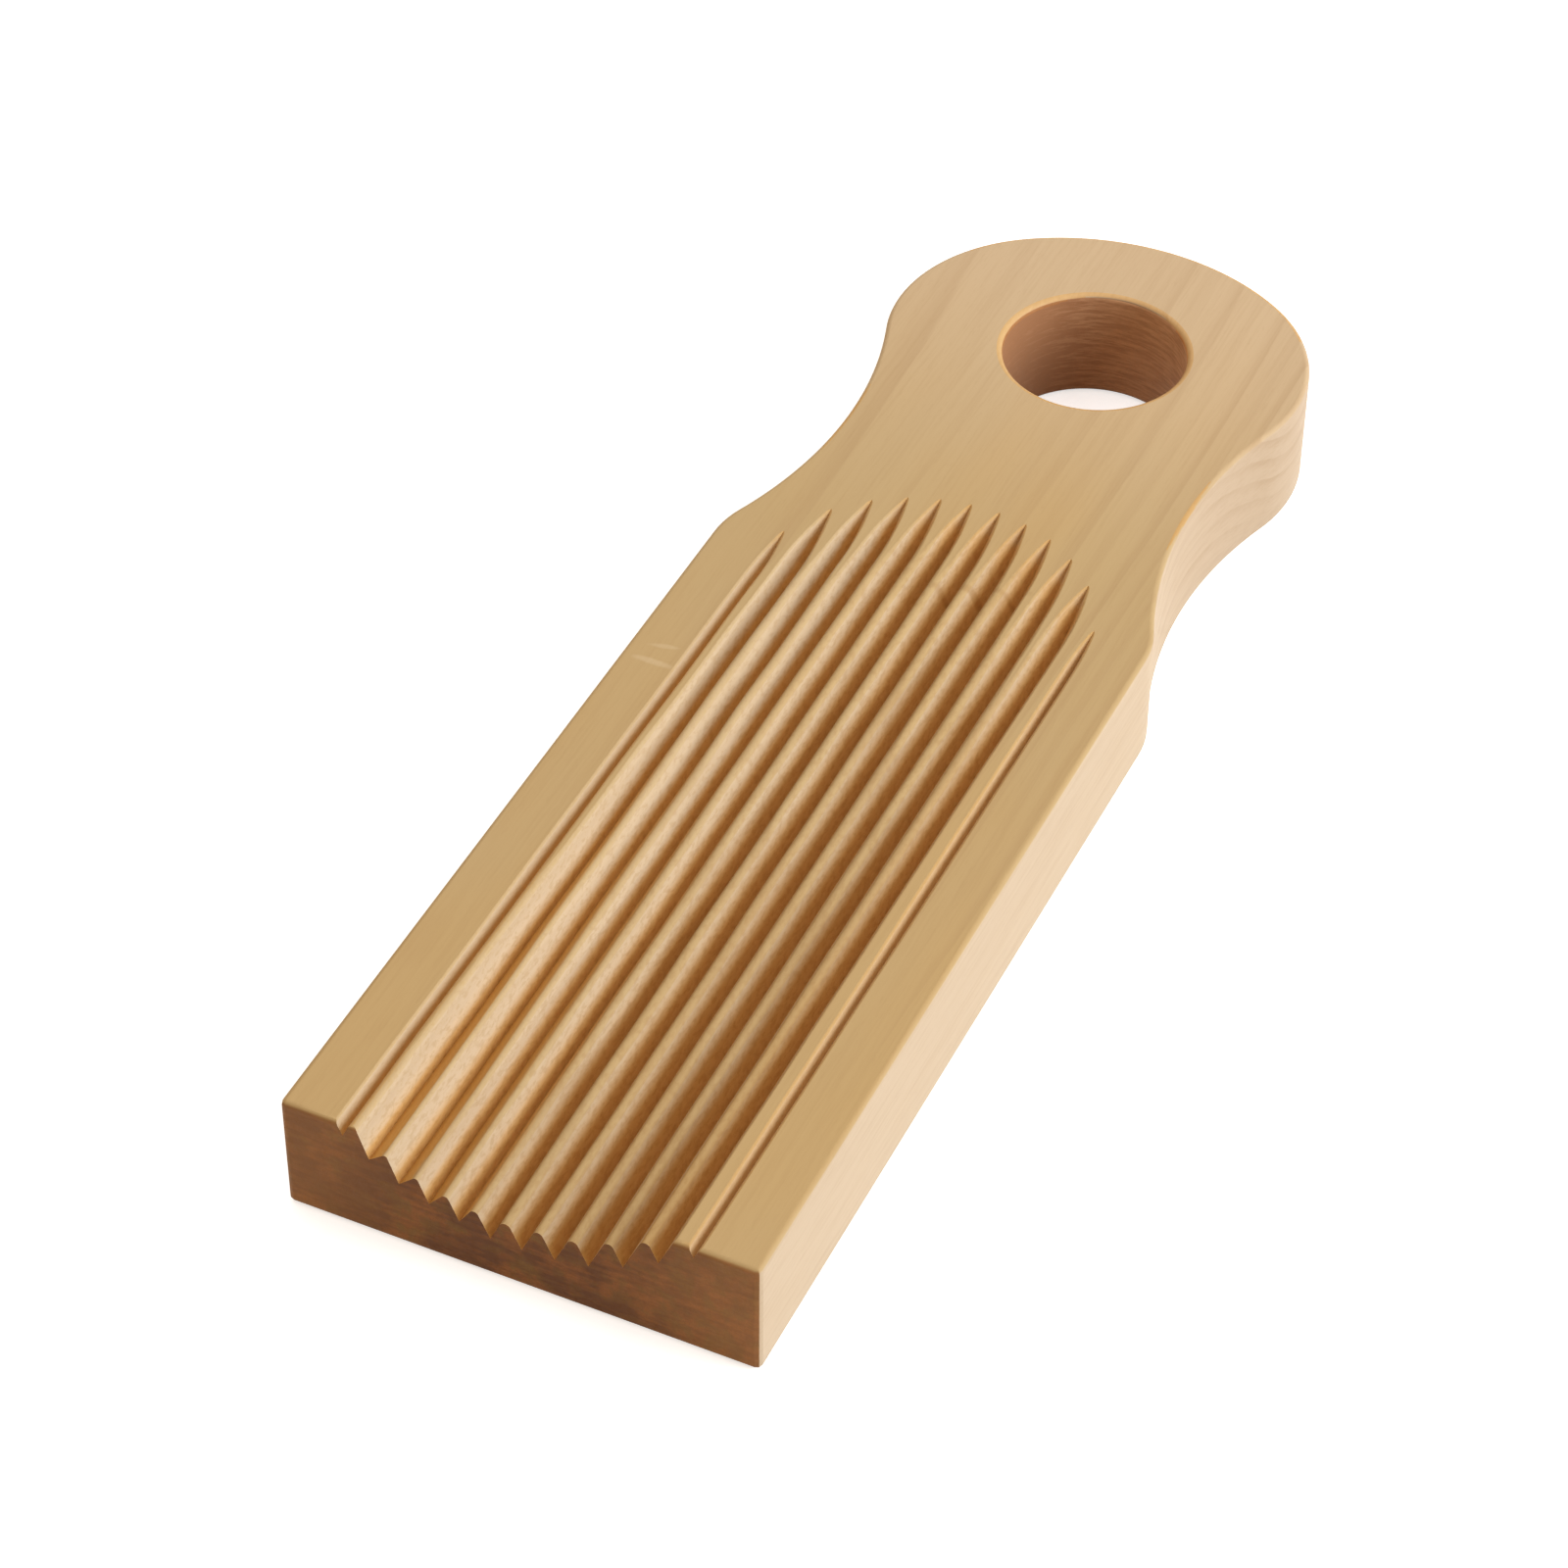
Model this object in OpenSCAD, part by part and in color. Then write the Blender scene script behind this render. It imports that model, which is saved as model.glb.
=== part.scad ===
// Gnocchi board: one piece of pale wood with a ribbed trough, a drawn-in neck and a round head with a hanging hole.
// The board is centred on the z axis with its underside at z = 0. Its open end points along -Y and its head along +Y.

/* [Board] */
// Length of the board, from the open end to the end of the head
board_l = 208; // [190:1:240]
// Width of the straight part
board_w = 64; // [58:0.5:80]
// Thickness of the wood
board_t = 17.5; // [15:0.5:24]
// Rounding of the outside edges
edge_r = 1; // [0.4:0.1:2]
// Rounding of the two upright corners at the open end
corner_r = 1; // [0.4:0.1:4]

/* [Head and neck] */
// Radius of the end of the head
head_r = 36; // [33:0.5:40]
// Radius of the cheeks, where the head turns into the neck
cheek_r = 25; // [10:0.5:28]
// Width of the neck where it is narrowest
neck_w = 52.2; // [44:0.1:56]
// Distance from the end of the head to the narrowest place of the neck
neck_back = 56.8; // [50:0.1:64]
// Distance along the neck in which it would reach the full width of the board
neck_run = 27.8; // [24:0.1:36]
// Radius of the shoulders, where the neck turns into the straight sides
shoulder_r = 15; // [4:0.5:30]

/* [Hanging hole] */
// Diameter of the hanging hole
hole_d = 26.6; // [18:0.1:32]
// Distance from the end of the head to the middle of the hole
hole_back = 27.5; // [24:0.1:32]
// Rounding of the rims of the hole
rim_r = 0.9; // [0.4:0.1:2.5]

/* [Grooves] */
// Number of grooves side by side
groove_count = 12; // [8:1:13]
// Distance from one groove to the next
groove_pitch = 4.27; // [3.6:0.01:4.6]
// Angle between the two walls of a groove
groove_angle = 48; // [44:1:60]
// Depth of the middle grooves at the open end
groove_depth = 10.9; // [8:0.1:12]
// Depth of the outermost grooves
outer_depth = 1.1; // [0.6:0.1:3]
// Depth of each groove, at most, where it begins to run out
run_depth = 3.4; // [2.4:0.1:4]
// Radius of the wheel that the grooves run out with
wheel_r = 27; // [20:1:60]
// Distance from the longest groove tips to the narrowest place of the neck
tips_back = 10.5; // [6:0.1:30]
// How far the tips of the outermost grooves lie behind the longest ones, on one arc
tips_rise = 17.8; // [6:0.1:22]
// Sideways lean of the deep ends: how far a groove drifts to the left for each unit that it deepens
lean = 0.19; // [0:0.01:0.25]
// Rounding of the crests between the grooves
crest_r = 1.1; // [0.6:0.05:1.2]

/* [Hidden] */
wood = [0.80, 0.66, 0.46];
hole_y = board_l - hole_back;
neck_y = board_l - neck_back;
neck_draw = (board_w - neck_w) / 2;
neck_r = (neck_run * neck_run + neck_draw * neck_draw) / (2 * neck_draw);
// Centres of the arcs along the right-hand side. Each rounded corner crosses its neighbours by lap
lap = 0.02;
neck_at = [neck_w / 2 + neck_r, neck_y];
head_at = [0, board_l - head_r];
cheek_at = crossing(neck_at, neck_r + cheek_r - lap, head_at, head_r - cheek_r + lap);
shoulder_x = board_w / 2 - shoulder_r + lap;
shoulder_at = [shoulder_x, neck_y - sqrt(pow(neck_r + shoulder_r - lap, 2) - pow(neck_at[0] - shoulder_x, 2))];
// Half the distance between the outermost grooves, and the radius of the arc that their bottoms follow at the open end
field_half = (groove_count - 1) / 2 * groove_pitch;
trough_draw = groove_depth - outer_depth;
trough_r = (field_half * field_half + trough_draw * trough_draw) / (2 * trough_draw);
tips_y = neck_y - tips_back;
tips_r = (field_half * field_half + tips_rise * tips_rise) / (2 * tips_rise);
half_angle = groove_angle / 2;
groove_h = groove_depth + 3;
cap_h = 8;
clear = 2;
trim_reach = 15;
ease_steps = 4;
crest_steps = 3;
$fn = 96;

// A rounded corner as points: how far each lies in from the side and in from the face
function ease(r) = [for (i = [0:ease_steps]) let (a = 90 * i / ease_steps) [r * (1 - sin(a)), r * (1 - cos(a))]];
function reversed(list) = [for (i = [len(list) - 1:-1:0]) list[i]];

// The side of a plate with rounded edges, seen in section, from the underside up
function rounded_side(w, r) = concat(
    [for (p = ease(r)) [w - p[0], p[1]]],
    [for (p = reversed(ease(r))) [w - p[0], board_t - p[1]]]);

// The same for a cut, which widens towards both faces instead
function flared_side(w, r) = concat(
    [for (p = ease(r)) [w + p[0], p[1]]],
    [for (p = reversed(ease(r))) [w + p[0], board_t - p[1]]]);

// Where circles about a and b cross, to the right of the way from a to b
function crossing(a, ra, b, rb) = let (
    gap = norm(b - a),
    along = (ra * ra - rb * rb + gap * gap) / (2 * gap),
    across = sqrt(ra * ra - along * along),
    way = (b - a) / gap) a + along * way + across * [way[1], -way[0]];
function bearing(a, b) = atan2(b[1] - a[1], b[0] - a[0]);
function mirrored(p) = [-p[0], p[1]];

function groove_x(i) = (i - (groove_count - 1) / 2) * groove_pitch;
function sag(r, x) = r - sqrt(r * r - x * x);
function end_depth(i) = groove_depth - sag(trough_r, groove_x(i));
function end_x(i) = groove_x(i) - lean * end_depth(i);
function low_depth(i) = min(run_depth, end_depth(i));
function tip_y(i) = tips_y - sag(tips_r, groove_x(i));

// How steeply groove i climbs from the open end, and where it begins to run out
function climb(i) = atan((end_depth(i) - low_depth(i)) / (tip_y(i) - sqrt(2 * wheel_r * low_depth(i))));
function run_y(i) = tip_y(i) + wheel_r * sin(climb(i))
    - sqrt(pow(wheel_r, 2) - pow(wheel_r * cos(climb(i)) - low_depth(i), 2));
function swing(i) = atan((groove_x(i) - end_x(i)) / run_y(i));

// Crest between groove i and the next, as x and z: at the open end, and where the first of the two runs out
function crest_at_end(i) = [
    (end_x(i) + end_x(i + 1)) / 2 + (end_depth(i) - end_depth(i + 1)) * tan(half_angle) / 2,
    board_t - (end_depth(i) + end_depth(i + 1)) / 2 + (end_x(i + 1) - end_x(i)) / 2 / tan(half_angle)
        - crest_r * (1 / sin(half_angle) - 1)];
function crest_at_run(i) = [
    (groove_x(i) + groove_x(i + 1)) / 2,
    board_t + sag(crest_r, min(crest_r, groove_pitch / 2 - run_depth * tan(half_angle)))];

// The straight part of the blank: rounded along its sides, its open end and its two front corners
module bar() {
    side = rounded_side(board_w / 2, edge_r);
    end_y = head_at[1];
    intersection() {
        translate([0, end_y, 0]) rotate([90, 0, 0]) linear_extrude(end_y)
            polygon(concat(side, [for (p = reversed(side)) mirrored(p)]));
        translate([-board_w / 2, 0, 0]) rotate([90, 0, 90]) linear_extrude(board_w)
            polygon(concat([for (p = rounded_side(0, edge_r)) mirrored(p)], [[end_y, board_t], [end_y, 0]]));
        linear_extrude(board_t) polygon(concat(
            [for (p = ease(corner_r)) [p[0] - board_w / 2, p[1]]],
            [[-board_w / 2, end_y], [board_w / 2, end_y]],
            [for (p = reversed(ease(corner_r))) [board_w / 2 - p[0], p[1]]]));
    }
}

module head() {
    translate([0, head_at[1], 0]) rotate_extrude()
        polygon(concat([[0, 0]], rounded_side(head_r, edge_r), [[0, board_t]]));
}

// A round cut right through the board, with both its rims rounded
module round_cut(r, rim) {
    rotate_extrude() polygon(concat(
        [[0, -clear], [r + rim, -clear]],
        flared_side(r, rim),
        [[r + rim, board_t + clear], [0, board_t + clear]]));
}

// All that lies outside a round corner between two bearings, on both sides of the board
module trim(at, r, from, to) {
    far = 2 * (r + trim_reach);
    for (side = [-1, 1]) translate([side * at[0], at[1], 0]) intersection() {
        rotate_extrude() polygon(concat(
            [[r + trim_reach, -clear], [r - edge_r, -clear]],
            rounded_side(r, edge_r),
            [[r - edge_r, board_t + clear], [r + trim_reach, board_t + clear]]));
        translate([0, 0, -2 * clear]) linear_extrude(board_t + 4 * clear)
            polygon([[0, 0], far * [side * cos(from), sin(from)], far * [side * cos(to), sin(to)]]);
    }
}

module blank() {
    difference() {
        union() {
            bar();
            head();
        }
        for (at = [neck_at, mirrored(neck_at)]) translate([at[0], at[1], 0]) round_cut(neck_r, edge_r);
        trim(shoulder_at, shoulder_r, 0, bearing(shoulder_at, neck_at));
        trim(cheek_at, cheek_r, bearing(cheek_at, neck_at), bearing(head_at, cheek_at));
    }
}

// Groove i: straight up from the open end, then lifted out along the wheel
module groove(i) {
    half_w = groove_h * tan(half_angle);
    translate([groove_x(i), run_y(i), board_t - low_depth(i)]) rotate([0, 0, -swing(i)]) rotate([climb(i), 0, 0]) {
        rotate([90, 0, 0]) linear_extrude(run_y(i) + 2 * clear)
            polygon([[0, 0], [half_w, groove_h], [-half_w, groove_h]]);
        translate([0, 0, wheel_r]) rotate([0, 90, 0]) rotate_extrude(angle = 90)
            polygon([[wheel_r, 0], [wheel_r - groove_h, half_w], [wheel_r - groove_h, -half_w]]);
    }
}

// What is rounded off the crest between groove i and the next, along a straight line
module crest_round(i) {
    a = crest_at_end(i);
    b = crest_at_run(i);
    y = min(run_y(i), run_y(i + 1));
    turn = 65 - half_angle / 2;
    brow = [for (k = [-crest_steps:crest_steps]) let (t = turn * k / crest_steps) crest_r * [sin(t), cos(t) - 1]];
    edge = brow[len(brow) - 1] + 0.6 * [cos(turn), -sin(turn)];
    translate([b[0], y, b[1]]) rotate([0, 0, atan((a[0] - b[0]) / y)]) rotate([90 + atan((b[1] - a[1]) / y), 0, 0])
        translate([0, 0, -2 * clear]) linear_extrude(y + 4 * clear)
            polygon(concat([[-edge[0], edge[1]]], brow, [edge, [edge[0], cap_h], [-edge[0], cap_h]]));
}

module groove_cut() {
    for (i = [0:groove_count - 1]) groove(i);
    for (i = [1:groove_count - 3]) crest_round(i);
}

// Everything above is measured from the open end; here the board moves to its place about the z axis
module board() {
    color(wood) translate([0, -board_l / 2, 0]) difference() {
        blank();
        translate([0, hole_y, 0]) round_cut(hole_d / 2, rim_r);
        groove_cut();
    }
}

board();
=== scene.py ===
"""A gnocchi board of pale wood, dressed around its solid. Sizes are in millimetres until a mesh is made."""

import math

import bmesh
import bpy
from mathutils import Matrix, Vector, noise


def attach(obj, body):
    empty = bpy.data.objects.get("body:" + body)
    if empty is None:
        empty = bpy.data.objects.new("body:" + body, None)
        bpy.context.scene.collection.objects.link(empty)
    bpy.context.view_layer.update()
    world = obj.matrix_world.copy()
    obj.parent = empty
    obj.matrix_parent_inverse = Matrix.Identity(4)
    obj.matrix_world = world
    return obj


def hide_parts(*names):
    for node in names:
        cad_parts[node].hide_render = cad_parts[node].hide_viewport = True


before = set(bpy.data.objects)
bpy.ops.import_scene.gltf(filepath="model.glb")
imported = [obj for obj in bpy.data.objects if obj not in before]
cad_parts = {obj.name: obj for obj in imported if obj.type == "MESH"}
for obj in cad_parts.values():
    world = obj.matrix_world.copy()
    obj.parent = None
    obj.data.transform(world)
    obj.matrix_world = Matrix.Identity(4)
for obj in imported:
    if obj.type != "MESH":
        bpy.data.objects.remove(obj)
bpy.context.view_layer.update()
MM = 0.001

# The board, measured from its open end as the solid is
BOARD_L, BOARD_W, BOARD_T = 208.0, 64.0, 17.5
EDGE_R, CORNER_R = 0.7, 0.8
HEAD_R, CHEEK_R, TURN_R = 36.0, 25.0, 15.0
NECK_W, NECK_BACK, NECK_RUN = 52.2, 56.8, 27.8
HOLE_R, HOLE_BACK, RIM_R = 13.3, 27.5, 0.9
GROOVES, PITCH, HALF_ANGLE = 12, 4.27, math.radians(24)
GROOVE_DEPTH, OUTER_DEPTH, RUN_DEPTH = 10.9, 1.1, 3.4
WHEEL_R, TIPS_BACK, TIPS_RISE = 27.0, 10.5, 17.8
CREST_R, SHOULDER_R = 0.75, 0.4

# How far a groove drifts to the left for each unit that it deepens, and how much less that is, by the square
# of its x, to the right of the middle
LEAN, LEAN_LESS = 0.15, 0.00012
# At the open end the grooves on the left lean over: how far their right and left walls turn, over how many
# grooves and how quickly that fades to the right, and over what length it fades along the board
SKEW, SKEW_BACK, SKEW_GROOVES, SKEW_POWER, SKEW_L = math.radians(28), math.radians(5), 4, 1.3, 90.0
# Grooves left of DEEP_FROM are up to UNEVEN shallower than their arc and the others up to as much deeper,
# in waves of which half is UNEVEN_HALF wide
UNEVEN, UNEVEN_HALF, DEEP_FROM = 0.45, 19.2, -3.0
# Depths of the two outermost grooves, and how far the left one lies further in
OUTER_LEFT, OUTER_RIGHT, LEFT_SHIFT = 2.0, 1.6, 0.4
# Slow wandering of the grooves to the side and in depth, and of the crest radius: size, length and first lane
SIDE_DRIFT = {"size": 0.09, "length": 17, "lane": 0}
DEPTH_DRIFT = {"size": 0.14, "length": 23, "lane": 40}
CREST_DRIFT = {"size": 0.16, "length": 9, "lane": 120}
LANE_GAP, LANE_LEVEL = 7.31, 4.7
# Where a groove is shallower than this its wandering fades, so that its tip stays sharp
STEADY_DEPTH = 2.0
# Crests are sharper where the walls lean over, and where they rise nearly to the top face
CREST_SHARPER, CREST_FALL = 0.45, 0.8
# A shoulder turns level on a crest and stays short of level beside flush land, so that the cut is a clean one
LEVEL, SHORT_OF_LEVEL = math.radians(90), math.radians(80)
# A wall lower than THIN shrinks to small steps, and a shoulder needs a wall this many times its radius high
THIN, THIN_STEP, DEPTH_FOR_ROUND = 0.05, 0.02, 0.7
# How far the cutters' section rises above the top face, past a tip and over a ridge, and how far to the side
TIP_ABOVE, RIDGE_ABOVE, FIELD_MARGIN = 1.0, 1.5, 3.0

HEAD_Y = BOARD_L - HEAD_R
NECK_Y = BOARD_L - NECK_BACK
HOLE_Y = BOARD_L - HOLE_BACK
NECK_DRAW = (BOARD_W - NECK_W) / 2
NECK_R = (NECK_RUN ** 2 + NECK_DRAW ** 2) / (2 * NECK_DRAW)
NECK_X = NECK_W / 2 + NECK_R
FIELD_HALF = (GROOVES - 1) / 2 * PITCH
TROUGH_DRAW = GROOVE_DEPTH - OUTER_DEPTH
TROUGH_R = (FIELD_HALF ** 2 + TROUGH_DRAW ** 2) / (2 * TROUGH_DRAW)
TIPS_Y = NECK_Y - TIPS_BACK
TIPS_R = (FIELD_HALF ** 2 + TIPS_RISE ** 2) / (2 * TIPS_RISE)
# How far every cut reaches past the board
CLEAR = 2.0

# How finely the mesh is divided, and what is too small to keep
EASE_STEPS, ARC_STEP, HOLE_STEPS, SMALLEST_R = 6, 1.2, 128, 0.01
RING_STEP, RUN_OUT_Y, RUN_OUT_STEP, ROUND_STEPS, WALL_STEPS = 1.6, 104.0, 0.5, 4, 3
SAME_POINT, SHORTEST_EDGE = 0.002, 0.001
# Edges that turn further than SHARP stay crisp, and faces larger than FLAT_AREA are shaded flat
SHARP, FLAT_AREA = math.radians(28), 200

# Painted shade darkens the grooves from the first height here above their bottoms, or from lower down
# # on walls on the left that face right, toward the lamp
SHADE_H, SHADE_LESS, SHADE_FROM, SHADE_OVER = 3.4, 1.7, 2.0, 16.0
# The painted shade in a groove grows with its depth past the shallow value, is full the deep value further
# # down, and is never less than the least value
SHADE_LEAST, SHADE_SHALLOW, SHADE_DEEP = 0.35, 0.8, 2.0
# Points below LOWEST lie under every groove
LOWEST, FAR_ABOVE = 3.0, 9.0
# Carved faces have normals between these two heights, don't face either end and lie within FIELD_REACH
STEEPEST_Z, LEVEL_Z, END_Y, FIELD_REACH = 0.02, 0.9999, 0.7, 26.0
# Faces of the bore are upright and lie this near to its radius
UPRIGHT_Z, BORE_NEAR = 0.6, 0.3

WHITE = (1, 1, 1, 1)
# Faint marks on the top face: place from the middle of the board, size, turn, tone and strength
PALE_MARK, DARK_MARK = (0.78, 0.62, 0.40, 1), (0.42, 0.25, 0.10, 1)
MARKS = (
    ((-27.4, -12.3), (3.4, 0.7), 0.0, PALE_MARK, 0.30),
    ((-27.0, -8.8), (2.6, 0.5), math.radians(12), PALE_MARK, 0.25),
    ((-29.6, -72.0), (2.5, 7.0), 0.0, DARK_MARK, 0.10),
    ((5.2, 20.0), (9.0, 0.9), math.radians(17), DARK_MARK, 0.5),
)
# The pith lies this far to the left of the board's middle and below its underside, with a ring every YEAR
PITH_LEFT, PITH_BELOW, YEAR = 42.0, 52.0, 2.3

# The light that comes from all around, warmer than the white that the camera sees there
AMBIENT, AMBIENT_TINT = 0.44, (1.0, 0.74, 0.48, 1)
# The floor in metres, its glow, and its colour for the camera and for light that bounces off it
FLOOR_HALF, FLOOR_GAP, FLOOR_GLOW = 4.0, 0.0002, 0.66
FLOOR_SEEN, FLOOR_LIT = (0.9, 0.9, 0.9, 1), (0.38, 0.33, 0.28, 1)


def clamped(value, low=0.0, high=1.0):
    return min(high, max(low, value))


def arc(centre, radius, inset, start, end):
    """Points on a round stretch, with its first and last point, drawn in by inset."""
    steps = max(2, math.ceil(abs(end - start) * radius / ARC_STEP))
    radius = max(radius - inset, SMALLEST_R)
    turns = [start + (end - start) * k / steps for k in range(steps + 1)]
    return [(centre[0] + radius * math.cos(t), centre[1] + radius * math.sin(t)) for t in turns]


def heading(start, end):
    return math.atan2(end[1] - start[1], end[0] - start[0])


def turn_centre():
    """Centre of the round between the straight side and the neck."""
    x = BOARD_W / 2 - TURN_R
    return x, NECK_Y - math.sqrt((NECK_R + TURN_R) ** 2 - (NECK_X - x) ** 2)


def cheek_centre():
    """Centre of the round between the neck and the head: where two circles about them cross."""
    a, b = NECK_R + CHEEK_R, HEAD_R - CHEEK_R
    dx, dy = -NECK_X, HEAD_Y - NECK_Y
    gap = math.hypot(dx, dy)
    along = (a * a - b * b + gap * gap) / (2 * gap)
    across = math.sqrt(a * a - along * along)
    ux, uy = dx / gap, dy / gap
    return NECK_X + along * ux + across * uy, NECK_Y + along * uy - across * ux


def half_outline(inset):
    """The right half of the plan, from the open end to the end of the head, drawn in by inset."""
    neck, head = (NECK_X, NECK_Y), (0.0, HEAD_Y)
    turn, cheek = turn_centre(), cheek_centre()
    front = (BOARD_W / 2 - CORNER_R, CORNER_R)
    to_turn, to_cheek = heading(neck, turn), heading(neck, cheek)
    points = arc(front, CORNER_R, inset, -math.pi / 2, 0)
    points += arc(turn, TURN_R, inset, 0, to_turn + math.pi)
    points += arc(neck, NECK_R, -inset, to_turn % (2 * math.pi), to_cheek % (2 * math.pi))[1:-1]
    points += arc(cheek, CHEEK_R, inset, to_cheek - math.pi, heading(head, cheek))
    points += arc(head, HEAD_R, inset, heading(head, cheek), math.pi / 2)[1:]
    return points


def outline(inset):
    """The whole plan, anticlockwise."""
    half = half_outline(inset)
    return half + [(-x, y) for x, y in reversed(half[:-1])]


def place(x, y, z):
    """A point measured from the open end, as a place in the frame."""
    return Vector((x, y - BOARD_L / 2, z)) * MM


def measured(point):
    """A place in the frame, as x, y and z measured from the open end."""
    return point.x / MM, point.y / MM + BOARD_L / 2, point.z / MM


def ease_levels(radius):
    """Inset and height of each ring of the plate, from the underside up, with both edges rounded."""
    turns = [math.pi / 2 * k / EASE_STEPS for k in range(EASE_STEPS + 1)]
    low = [(radius * (1 - math.sin(t)), radius * (1 - math.cos(t))) for t in turns]
    return low + [(inset, BOARD_T - z) for inset, z in reversed(low)]


def skin(mesh, rings):
    """Quads between closed rings of vertices that have the same count."""
    for low, high in zip(rings, rings[1:]):
        for k in range(len(low)):
            after = (k + 1) % len(low)
            mesh.faces.new((low[k], low[after], high[after], high[k]))


def new_piece(name, mesh):
    bmesh.ops.recalc_face_normals(mesh, faces=mesh.faces)
    data = bpy.data.meshes.new(name)
    mesh.to_mesh(data)
    mesh.free()
    piece = bpy.data.objects.new(name, data)
    bpy.context.scene.collection.objects.link(piece)
    return piece


def blank():
    """The plate before the hole and the grooves."""
    mesh = bmesh.new()
    rings = [[mesh.verts.new(place(x, y, z)) for x, y in outline(inset)] for inset, z in ease_levels(EDGE_R)]
    skin(mesh, rings)
    mesh.faces.new(reversed(rings[0]))
    mesh.faces.new(rings[-1])
    return new_piece("board_wood", mesh)


def hole_tool():
    """A spool with flared ends, which leaves a bore with two rounded rims."""
    mesh = bmesh.new()
    levels = [(RIM_R, -CLEAR)] + ease_levels(RIM_R) + [(RIM_R, BOARD_T + CLEAR)]
    turns = [2 * math.pi * k / HOLE_STEPS for k in range(HOLE_STEPS)]
    rings = []
    for flare, z in levels:
        r = HOLE_R + flare
        rings.append([mesh.verts.new(place(r * math.cos(t), HOLE_Y + r * math.sin(t), z)) for t in turns])
    skin(mesh, rings)
    mesh.faces.new(reversed(rings[0]))
    mesh.faces.new(rings[-1])
    return new_piece("hole_tool", mesh)


def wander(index, y, drift):
    """A smooth drift along the board, different for each groove."""
    at = Vector(((index + drift["lane"]) * LANE_GAP, y / drift["length"], LANE_LEVEL))
    return drift["size"] * noise.noise(at)


def sag(radius, x):
    return radius - math.sqrt(radius ** 2 - x * x)


def end_depth(index, x):
    """Depth of a groove at the open end: near one arc, but for the two outermost."""
    if index == 0:
        return OUTER_LEFT
    if index == GROOVES - 1:
        return OUTER_RIGHT
    side = math.copysign(1, x - DEEP_FROM)
    return GROOVE_DEPTH - sag(TROUGH_R, x) + UNEVEN * abs(math.sin(math.pi * x / UNEVEN_HALF)) * side


class Groove:
    """One groove: a straight climb from the open end, then lifted out along the wheel."""

    def __init__(self, index):
        self.index = index
        self.x = (index - (GROOVES - 1) / 2) * PITCH
        deep = end_depth(index, self.x)
        if index == 0:
            self.x += LEFT_SHIFT
        self.low = min(RUN_DEPTH, deep)
        tip_y = TIPS_Y - sag(TIPS_R, self.x)
        climb = math.atan((deep - self.low) / (tip_y - math.sqrt(2 * WHEEL_R * self.low)))
        self.over = WHEEL_R * math.cos(climb) - self.low
        self.wheel_y = tip_y - math.sqrt(WHEEL_R ** 2 - self.over ** 2)
        self.run_y = self.wheel_y + WHEEL_R * math.sin(climb)
        self.rise = math.tan(climb)
        self.drift = (LEAN - LEAN_LESS * max(0.0, self.x) ** 2) * deep / self.run_y
        self.skew = max(0.0, 1 - ((index - 1) / SKEW_GROOVES) ** SKEW_POWER) if index > 0 else 0.0

    def bottom(self, y):
        """Where the bottom of the groove is at y, as x and depth below the top face."""
        x = self.x - self.drift * max(0.0, self.run_y - y)
        if y <= self.run_y:
            depth = self.low + (self.run_y - y) * self.rise
        else:
            depth = math.sqrt(max(0.0, WHEEL_R ** 2 - (y - self.wheel_y) ** 2)) - self.over
        steady = clamped(depth / STEADY_DEPTH)
        x += steady * wander(self.index, y, SIDE_DRIFT)
        return x, max(depth + steady * wander(self.index, y, DEPTH_DRIFT), -TIP_ABOVE)

    def lean_over(self, y):
        """How much of the full skew the groove has at y."""
        return self.skew * max(0.0, 1 - y / SKEW_L)

    def wall(self, side, y):
        """How far the wall on that side (-1 left, 1 right) leans out from upright."""
        return HALF_ANGLE + (SKEW if side > 0 else -SKEW_BACK) * self.lean_over(y)


def wall_points(bottom, wall, side, top, radius):
    """Points up one wall of a groove and over its shoulder, which ends at the depth top."""
    x, depth = bottom
    if depth < top + THIN:
        steps = range(1, ROUND_STEPS + WALL_STEPS + 1)
        return [(x + side * THIN_STEP * k, depth - THIN_STEP * k) for k in steps]
    radius = min(radius, (depth - top) / DEPTH_FOR_ROUND)
    centre_depth = top + radius
    centre_x = x + side * ((depth - centre_depth) * math.tan(wall) + radius / math.cos(wall))
    last = LEVEL if top > 0 else SHORT_OF_LEVEL
    turns = [wall + (last - wall) * k / ROUND_STEPS for k in range(ROUND_STEPS + 1)]
    brow = [(centre_x - side * radius * math.cos(t), centre_depth - radius * math.sin(t)) for t in turns]
    parts = [k / WALL_STEPS for k in range(1, WALL_STEPS)]
    return [(x + (brow[0][0] - x) * k, depth + (brow[0][1] - depth) * k) for k in parts] + brow


def crest_between(low, high, walls, radius):
    """Centre of the round that touches both walls of a ridge, as x and depth."""
    rise = [math.tan(wall) for wall in walls]
    reach = radius * (1 / math.cos(walls[0]) + 1 / math.cos(walls[1]))
    depth = (low[0] - high[0] + low[1] * rise[0] + high[1] * rise[1] + reach) / sum(rise)
    return low[0] + (low[1] - depth) * rise[0] + radius / math.cos(walls[0]), depth


def ridge(left, right, y):
    """The ridge between two grooves: rounded where it is cut down, and flush with the top face elsewhere."""
    low, high = left.bottom(y), right.bottom(y)
    walls = left.wall(1, y), right.wall(-1, y)
    radius = CREST_R * (1 + wander(left.index, y, CREST_DRIFT) - CREST_SHARPER * left.lean_over(y))
    crest_x, crest = crest_between(low, high, walls, radius)
    if crest < radius:
        radius = max(SHOULDER_R, radius + (crest - radius) * CREST_FALL)
        crest_x, crest = crest_between(low, high, walls, radius)
    top = max(0.0, crest - radius)
    near = wall_points(low, walls[0], 1, top, radius)
    far = wall_points(high, walls[1], -1, top, radius)
    return near + [(crest_x, max(crest - radius, -RIDGE_ABOVE))] + far[::-1]


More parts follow.
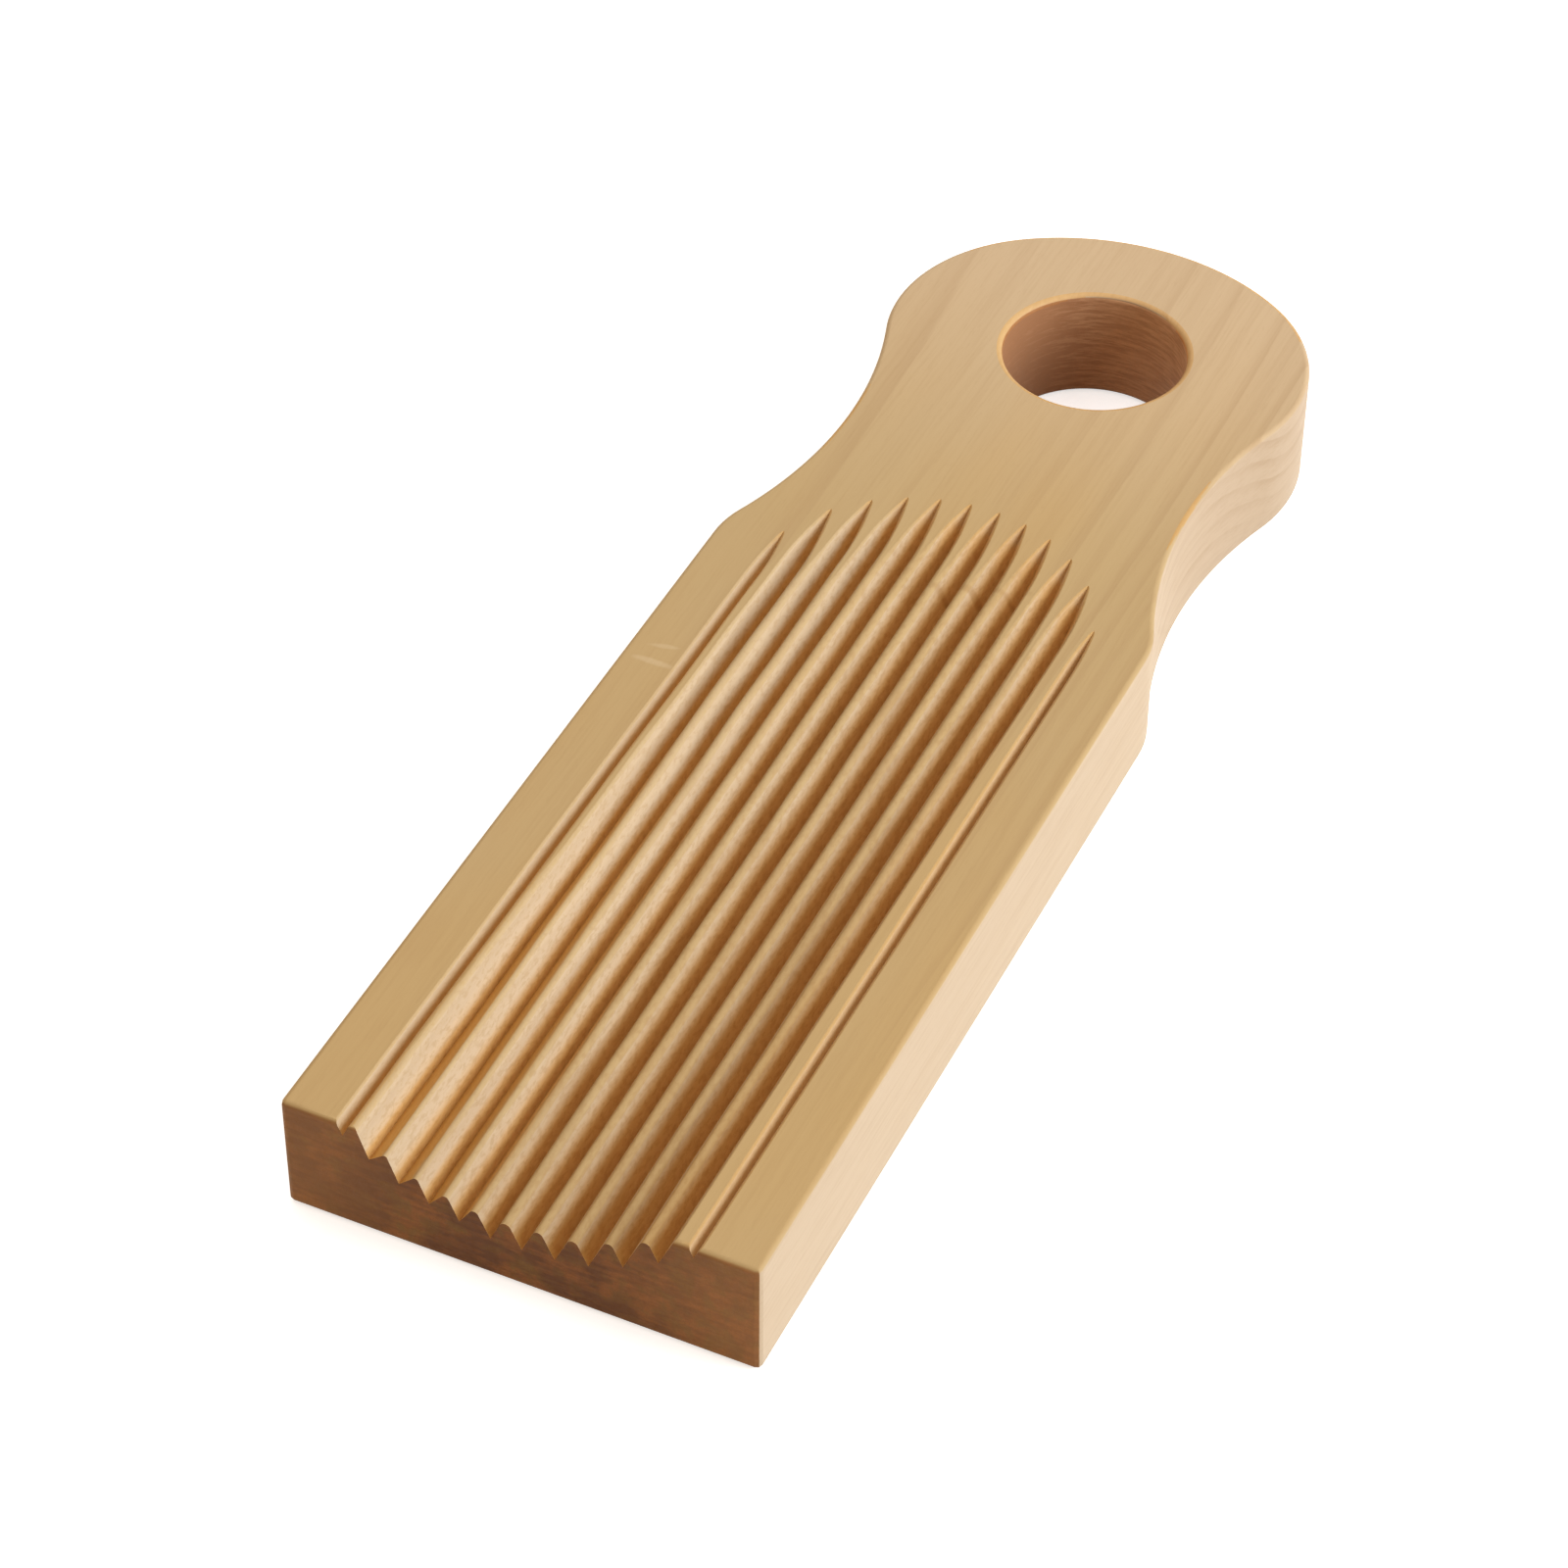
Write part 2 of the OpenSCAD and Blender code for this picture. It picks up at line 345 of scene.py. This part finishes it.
def cutter_section(y, grooves):
    """Section of what the groove cutters take away at y, as x and z."""
    first, last = grooves[0].bottom(y), grooves[-1].bottom(y)
    points = [(first[0] - FIELD_MARGIN, -CLEAR)]
    points += wall_points(first, HALF_ANGLE, -1, 0.0, SHOULDER_R)[::-1]
    for left, right in zip(grooves, grooves[1:]):
        points += [left.bottom(y)] + ridge(left, right, y)
    points += [last] + wall_points(last, HALF_ANGLE, 1, 0.0, SHOULDER_R)
    points += [(last[0] + FIELD_MARGIN, -CLEAR)]
    return [(x, BOARD_T - depth) for x, depth in points]


def groove_tool(grooves):
    """All the wood that the groove cutters take, as one solid, with closer sections where they lift out."""
    slow = math.ceil((RUN_OUT_Y + CLEAR) / RING_STEP)
    fast = math.ceil((TIPS_Y + CLEAR - RUN_OUT_Y) / RUN_OUT_STEP)
    places = [-CLEAR + (RUN_OUT_Y + CLEAR) * k / slow for k in range(slow)]
    places += [RUN_OUT_Y + RUN_OUT_STEP * k for k in range(fast + 1)]
    mesh = bmesh.new()
    rings = [[mesh.verts.new(place(x, y, z)) for x, z in cutter_section(y, grooves)] for y in places]
    skin(mesh, rings)
    mesh.faces.new(rings[0])
    mesh.faces.new(reversed(rings[-1]))
    bmesh.ops.triangulate(mesh, faces=mesh.faces)
    return new_piece("groove_tool", mesh)


def carve(piece, tools):
    """Takes the tools away from the piece and deletes them."""
    for tool in tools:
        cut = piece.modifiers.new(tool.name, "BOOLEAN")
        cut.operation = "DIFFERENCE"
        cut.solver = "EXACT"
        cut.object = tool
    bpy.context.view_layer.update()
    carved = bpy.data.meshes.new_from_object(piece.evaluated_get(bpy.context.evaluated_depsgraph_get()))
    piece.modifiers.clear()
    piece.data = carved
    for tool in tools:
        bpy.data.objects.remove(tool)


def soften(piece):
    """Smooth shading, but for crisp edges and large flat faces."""
    mesh = bmesh.new()
    mesh.from_mesh(piece.data)
    bmesh.ops.remove_doubles(mesh, verts=mesh.verts, dist=SAME_POINT * MM)
    bmesh.ops.dissolve_degenerate(mesh, edges=mesh.edges, dist=SHORTEST_EDGE * MM)
    for face in mesh.faces:
        face.smooth = face.calc_area() < FLAT_AREA * MM * MM
    for edge in mesh.edges:
        edge.smooth = len(edge.link_faces) == 2 and edge.calc_face_angle() < SHARP
    mesh.to_mesh(piece.data)
    mesh.free()


def above_groove(point, grooves):
    """How high a point lies above the nearest groove's bottom, and how strong that groove's painted shade is.
    """
    x, y, z = measured(point)
    if z <= LOWEST:
        return FAR_ABOVE, 0.0
    groove = min(grooves, key=lambda g: abs(g.bottom(y)[0] - x))
    depth = groove.bottom(y)[1]
    return z - (BOARD_T - depth), clamped((depth - SHADE_SHALLOW) / SHADE_DEEP, SHADE_LEAST)


def is_carved(face):
    """Whether a face is part of a groove or of the round of a crest."""
    sloping = STEEPEST_Z < face.normal.z < LEVEL_Z and abs(face.normal.y) < END_Y
    return sloping and abs(face.center.x) < FIELD_REACH * MM


def is_drilled(face):
    """Whether a face is part of the wall of the hanging hole, and not of its rims."""
    x, y = measured(face.center)[:2]
    return abs(face.normal.z) < UPRIGHT_Z and abs(math.hypot(x, y - HOLE_Y) - HOLE_R) < BORE_NEAR


def shade_height(face):
    """How far above its groove's bottom painted shade begins: lower on left walls that face the lamp."""
    if face.normal.x <= 0:
        return SHADE_H
    return SHADE_H - SHADE_LESS * clamped(-(face.center.x / MM + SHADE_FROM) / SHADE_OVER)


def mark_faces(piece, grooves):
    """Stores for the material a face's painted shade deep in a groove, and if it is on a rib or in the hole.
    """
    data = piece.data
    above = [above_groove(v.co, grooves) for v in data.vertices]
    names = ("groove_shade", "ribbed", "bore")
    for name in names:
        data.attributes.new(name, "FLOAT", "CORNER")
    groove_shade, ribbed, bore = (data.attributes[name].data for name in names)
    for face in data.polygons:
        reach, carved, drilled = shade_height(face), is_carved(face), is_drilled(face)
        for corner in face.loop_indices:
            height, strength = above[data.loops[corner].vertex_index]
            # painted shade: strongest at the groove bottom, fading up the wall
            groove_shade[corner].value = strength * clamped(1 - height / reach) if carved else 0.0
            ribbed[corner].value = strength if carved else 0.0
            bore[corner].value = float(drilled)


def make_board():
    grooves = [Groove(i) for i in range(GROOVES)]
    piece = blank()
    carve(piece, [hole_tool(), groove_tool(grooves)])
    soften(piece)
    mark_faces(piece, grooves)
    return piece


class Nodes:
    """A short way to write the nodes of a material or of the world."""

    def __init__(self, owner):
        owner.use_nodes = True
        self.tree = owner.node_tree
        self.tree.nodes.clear()

    def add(self, kind, inputs=None, **settings):
        node = self.tree.nodes.new(kind)
        for key, value in settings.items():
            setattr(node, key, value)
        for key, value in (inputs or {}).items():
            self.set(node.inputs[key], value)
        return node

    def set(self, socket, value):
        if isinstance(value, bpy.types.NodeSocket):
            self.tree.links.new(value, socket)
        else:
            socket.default_value = value

    def math(self, operation, a, b=0.0, clamp=False):
        return self.add("ShaderNodeMath", {0: a, 1: b}, operation=operation, use_clamp=clamp).outputs[0]

    def mapped(self, vector, scale, turn=(0, 0, 0), shift=(0, 0, 0)):
        inputs = {"Vector": vector, "Scale": scale, "Rotation": turn, "Location": shift}
        return self.add("ShaderNodeMapping", inputs).outputs[0]

    def pattern(self, vector, stretch, scale, detail=2.0, rough=0.5, **mapping):
        """Noise, finer with a larger scale and long where the stretch is small."""
        inputs = {"Vector": self.mapped(vector, stretch, **mapping), "Scale": scale}
        inputs.update({"Detail": detail, "Roughness": rough})
        return self.add("ShaderNodeTexNoise", inputs).outputs["Fac"]

    def band(self, value, low, high, out_low=0.0, out_high=1.0):
        """A smooth step from out_low to out_high as the value goes from low to high, up or down."""
        inputs = {"Value": value, "From Min": low, "From Max": high, "To Min": out_low, "To Max": out_high}
        return self.add("ShaderNodeMapRange", inputs, interpolation_type="SMOOTHSTEP").outputs[0]

    def mix(self, factor, a, b, blend="MIX"):
        inputs = {"Factor": factor, "A": a, "B": b}
        return self.add("ShaderNodeMix", inputs, data_type="RGBA", blend_type=blend).outputs["Result"]

    def tinted(self, colour, tint, where, strength):
        """The colour, mixed with a tint up to that strength."""
        return self.mix(self.math("MULTIPLY", where, strength), colour, tint)

    def stored(self, name):
        return self.add("ShaderNodeAttribute", attribute_name=name).outputs["Fac"]

    def seen(self, *rays):
        """1 for the rays named, such as Camera, and 0 for all others."""
        path = self.add("ShaderNodeLightPath")
        result = path.outputs[f"Is {rays[0]} Ray"]
        for ray in rays[1:]:
            result = self.math("MAXIMUM", result, path.outputs[f"Is {ray} Ray"])
        return result

    def output(self, shader, kind="ShaderNodeOutputMaterial"):
        self.add(kind, {"Surface": shader.outputs[0]})


class Grain:
    """What all parts of the wood share: the place in mm from the middle of the underside, the way a face
    turns, fibres, speckle and rings."""

    def __init__(self, n):
        self.place = n.mapped(n.add("ShaderNodeTexCoord").outputs["Object"], (1 / MM, 1 / MM, 1 / MM))
        self.x, self.y, self.z = n.add("ShaderNodeSeparateXYZ", {"Vector": self.place}).outputs
        normal = n.add("ShaderNodeTexCoord").outputs["Normal"]
        self.turn_x, self.turn_y, self.turn_z = n.add("ShaderNodeSeparateXYZ", {"Vector": normal}).outputs
        self.fibre = n.pattern(self.place, (1, 0.03, 1), scale=2.2, detail=3.0, rough=0.6)
        self.speckle = n.pattern(self.place, (1, 1, 1), scale=3.4, detail=3.0, rough=0.7)
        self.rings = growth_rings(n, self)
        self.at_end = n.band(n.math("ABSOLUTE", self.turn_y), 0.6, 0.98)


def growth_rings(n, grain):
    """Rings of uneven width about the pith: a slow darkening, then a quick return to pale."""
    drift = n.pattern(grain.place, (1, 0.16, 1), scale=0.028)
    fine_drift = n.pattern(grain.place, (1, 0.05, 1), scale=0.25)
    across = n.math("ADD", grain.x, PITH_LEFT)
    up = n.math("ADD", grain.z, PITH_BELOW)
    radius = n.math("SQRT", n.math("ADD", n.math("MULTIPLY", across, across), n.math("MULTIPLY", up, up)))
    radius = n.math("ADD", radius, n.math("MULTIPLY", drift, 9.0))
    radius = n.math("ADD", radius, n.math("MULTIPLY", fine_drift, 0.8))
    year = n.math("FRACT", n.math("DIVIDE", radius, YEAR))
    late = n.math("MULTIPLY", n.band(year, 0.35, 0.92), n.band(year, 1.0, 0.93))
    strength = n.band(n.pattern(grain.place, (1, 0.02, 1), scale=0.16, detail=1.0), 0.35, 0.75)
    return n.math("MULTIPLY", late, strength)


def long_grain(n, grain):
    """Faces along the fibres: mottled, rosier toward the head and paler at the sides, with fine rings, and
    painted shade that dims the sides toward the head.
    """
    tan, honey, rosy = (0.56, 0.402, 0.197, 1), (0.572, 0.393, 0.174, 1), (0.69, 0.525, 0.345, 1)
    brown, pale, pale_head_shaded = (0.36, 0.20, 0.085, 1), (0.72, 0.58, 0.415, 1), (0.65, 0.51, 0.36, 1)
    mottle = n.pattern(grain.place, (1, 0.35, 1), scale=0.045)
    broad = n.band(n.pattern(grain.place, (1, 0.03, 0.6), scale=0.07), 0.3, 0.7)
    pores = n.band(n.pattern(grain.place, (1, 0.12, 1), scale=4.2, detail=1.0, rough=0.4), 0.62, 0.72)
    at_side = n.band(n.math("ABSOLUTE", grain.turn_x), 0.75, 0.98)
    # painted shade: the sides dim toward the head, where the lamp falls on them more squarely
    side_tone = n.mix(n.band(grain.y, 15.0, 60.0), pale, pale_head_shaded)
    colour = n.mix(n.band(mottle, 0.3, 0.7), tan, honey)
    colour = n.tinted(colour, rosy, n.band(grain.y, 20.0, 100.0), 0.75)
    colour = n.tinted(colour, side_tone, at_side, 0.88)
    colour = n.tinted(colour, brown, grain.rings, 0.22)
    colour = n.tinted(colour, brown, broad, 0.08)
    colour = n.tinted(colour, brown, n.band(grain.fibre, 0.4, 0.75), 0.10)
    return n.tinted(colour, brown, pores, 0.06)


def end_grain(n, grain):
    """The sawn ends drink in more light: blotched and streaked, greener in places, paler toward the sides."""
    red, green, pale = (0.43, 0.175, 0.055, 1), (0.31, 0.165, 0.045, 1), (0.78, 0.41, 0.18, 1)
    dark = (0.17, 0.063, 0.016, 1)
    blotch = n.pattern(grain.place, (1, 1, 1), scale=0.14, detail=3.0, rough=0.6, turn=(0, 0.6, 0))
    streak = n.pattern(grain.place, (0.3, 1, 1.6), scale=0.7, rough=0.6, turn=(0, -0.7, 0))
    patch = n.pattern(grain.place, (1, 1, 1), scale=0.4, rough=0.6, shift=(3.0, 0, 8.0))
    blotched, streaked = n.band(blotch, 0.38, 0.62, 0.0, 0.7), n.band(streak, 0.4, 0.65, 0.0, 0.45)
    colour = n.mix(n.band(patch, 0.42, 0.62), red, green)
    colour = n.mix(n.math("ADD", blotched, streaked, clamp=True), colour, dark)
    colour = n.tinted(colour, dark, n.band(grain.speckle, 0.4, 0.65), 0.35)
    return n.tinted(colour, pale, n.band(n.math("ABSOLUTE", grain.x), 8.0, 31.0), 0.3)


def drilled_grain_and_shade(n, grain):
    """The wall of the hole, with rings from the drill, and painted shade that darkens it toward the left."""
    pale, dark = (0.72, 0.42, 0.23, 1), (0.40, 0.195, 0.09, 1)
    turned = n.pattern(grain.place, (0.12, 0.12, 1), scale=1.6, detail=3.0, rough=0.7)
    # painted shade: the bore darkens toward its left side, where the lamp reaches in
    ringed, shaded = n.band(turned, 0.35, 0.65, 0.0, 0.6), n.band(grain.x, 2.0, -13.0, 0.0, 0.9)
    return n.mix(n.math("ADD", ringed, shaded, clamp=True), pale, dark)


def with_marks(n, grain, colour):
    """Faint marks: pale scuffs on the left land, a burnished line across the ribs and a darker stretch."""
    ragged = n.math("MULTIPLY", n.pattern(grain.place, (1, 0.5, 1), scale=0.5, rough=0.6), 0.8)
    upward = n.band(grain.turn_z, 0.1, 0.4)
    for at, size, turn, tone, strength in MARKS:
        reach = n.mapped(grain.place, (1, 1, 0), shift=(-at[0], -at[1], 0))
        reach = n.mapped(reach, (1, 1, 0), turn=(0, 0, -turn))
        reach = n.mapped(reach, (1 / size[0], 1 / size[1], 0))
        reach = n.add("ShaderNodeVectorMath", {0: reach}, operation="LENGTH").outputs["Value"]
        mark = n.band(n.math("ADD", reach, ragged), 1.5, 0.8, 0.0, strength)
        colour = n.mix(n.math("MULTIPLY", mark, upward), colour, tone)
    return colour


def with_cutter_traces_and_shade(n, grain, colour):
    """Torn ribs, paler toward the left, with painted shade on the walls that face left, away from the lamp,
    and painted shade that darkens the grooves toward their bottoms.
    """
    fuzz, fuzz_dark = (0.74, 0.60, 0.39, 1), (0.42, 0.24, 0.085, 1)
    # the last two tints are painted shade, for the groove bottoms and for the walls that face left
    bottom_shade, away_shade = (1.12, 0.89, 0.50, 1), (0.78, 0.69, 0.58, 1)
    groove_shade, ribbed = n.stored("groove_shade"), n.stored("ribbed")
    torn = n.pattern(grain.place, (1, 0.45, 1), scale=1.8, detail=3.0, rough=0.65, turn=(0, 0, 0.9))
    toward_left = n.math("MULTIPLY", ribbed, n.band(grain.x, -2.0, -22.0, 0.0, 0.5))
    # mask for painted shade on walls that face left, away from the lamp
    away = n.math("MULTIPLY", ribbed, n.band(grain.turn_x, -0.3, -0.75))
    colour = n.mix(n.math("MULTIPLY", toward_left, n.band(torn, 0.35, 0.6, 0.3, 1.0)), colour, fuzz)
    colour = n.mix(n.math("MULTIPLY", ribbed, n.band(torn, 0.42, 0.66, 0.0, 0.34)), colour, fuzz_dark)
    # painted shade: darkens and warms the grooves toward their bottoms, deeper grooves more
    colour = n.mix(1.0, colour, n.mix(n.band(groove_shade, 0.0, 0.6), WHITE, bottom_shade), "MULTIPLY")
    # painted shade on the walls that face left, away from the lamp
    return n.mix(away, colour, away_shade, "MULTIPLY")


def wood_bump(n, grain):
    """Fibres, rings and rough end grain, a tenth of a millimetre deep at most."""
    height = n.math("ADD", n.math("MULTIPLY", grain.fibre, 0.5), n.math("MULTIPLY", grain.rings, -0.3))
    rough_end = n.math("MULTIPLY", n.math("MULTIPLY", grain.speckle, grain.at_end), 0.8)
    height = n.math("ADD", height, rough_end)
    return n.add("ShaderNodeBump", {"Height": height, "Strength": 0.3, "Distance": 0.0001}).outputs[0]


def wood_material():
    """Pale close-grained wood, solid through and through."""
    material = bpy.data.materials.new("pale_wood")
    n = Nodes(material)
    grain = Grain(n)
    colour = n.mix(grain.at_end, long_grain(n, grain), end_grain(n, grain))
    colour = n.mix(n.stored("bore"), colour, drilled_grain_and_shade(n, grain))
    colour = with_cutter_traces_and_shade(n, grain, with_marks(n, grain, colour))
    n.output(n.add("ShaderNodeBsdfPrincipled", {
        "Base Color": colour,
        "Roughness": n.band(grain.fibre, 0.3, 0.8, 0.52, 0.66),
        "Normal": wood_bump(n, grain),
        "Specular IOR Level": 0.25}))
    return material


def stage_material():
    """A plain matte sheet: the camera sees it in one colour, and light bounces off it in another."""
    material = bpy.data.materials.new("stage_white")
    n = Nodes(material)
    seen = n.seen("Camera", "Glossy", "Transmission")
    matte = n.add("ShaderNodeBsdfDiffuse", {"Color": n.mix(seen, FLOOR_LIT, FLOOR_SEEN)})
    glow = n.add("ShaderNodeEmission", {"Color": WHITE, "Strength": n.math("MULTIPLY", seen, FLOOR_GLOW)})
    n.output(n.add("ShaderNodeAddShader", {0: matte.outputs[0], 1: glow.outputs[0]}))
    return material


def make_floor():
    data = bpy.data.meshes.new("floor")
    corners = [(x * FLOOR_HALF, y * FLOOR_HALF, 0) for x, y in ((-1, -1), (1, -1), (1, 1), (-1, 1))]
    data.from_pydata(corners, [], [(0, 1, 2, 3)])
    floor = bpy.data.objects.new("floor", data)
    bpy.context.scene.collection.objects.link(floor)
    floor.location.z = -FLOOR_GAP
    data.materials.append(stage_material())


def make_world():
    """Even, warm light from all around, which the camera and reflections see as plain white."""
    world = bpy.data.worlds.new("studio")
    n = Nodes(world)
    seen = n.seen("Camera", "Glossy")
    tint = n.mix(seen, AMBIENT_TINT, WHITE)
    back = n.add("ShaderNodeBackground", {"Color": tint, "Strength": n.band(seen, 0.0, 1.0, AMBIENT, 1.0)})
    n.output(back, "ShaderNodeOutputWorld")
    bpy.context.scene.world = world


def area_light(name, position, target, size, power, colour):
    data = bpy.data.lights.new(name, "AREA")
    data.shape = "DISK"
    data.size = size
    data.energy = power
    data.color = colour
    lamp = bpy.data.objects.new(name, data)
    lamp.location = position
    lamp.rotation_euler = (Vector(target) - Vector(position)).to_track_quat("-Z", "Y").to_euler()
    bpy.context.scene.collection.objects.link(lamp)


def make_lights():
    """Two large soft lights, placed in metres: one low on the right, and a weaker one almost overhead."""
    area_light("key", (0.87, 0.17, 0.44), (0, 0, 0.01), size=0.8, power=10.5, colour=(0.86, 0.92, 1.0))
    area_light("top", (-0.32, 0.15, 1.05), (0, 0, 0), size=0.9, power=3.6, colour=(0.86, 0.93, 1.0))


def make_camera():
    """The photograph's view: a long lens from the front right, 42 degrees up, placed in metres."""
    position = Vector((0.18341, -0.42644, 0.41911))
    right = Vector((0.905633, 0.424024, 0.005779))
    forward = Vector((-0.309752, 0.670756, -0.673899))
    data = bpy.data.cameras.new("camera")
    data.sensor_width = 36.0
    data.lens = 105.86
    data.clip_start, data.clip_end = 0.01, 20.0
    camera = bpy.data.objects.new("camera", data)
    turn = Matrix((right, right.cross(forward), -forward)).transposed().to_4x4()
    camera.matrix_world = Matrix.Translation(position) @ turn
    bpy.context.scene.collection.objects.link(camera)
    bpy.context.scene.camera = camera


make_camera()
make_world()
make_lights()
make_floor()

board = make_board()
board.data.materials.clear()
board.data.materials.append(wood_material())
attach(board, "root")
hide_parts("board")

bpy.context.scene.view_settings.view_transform = "Standard"
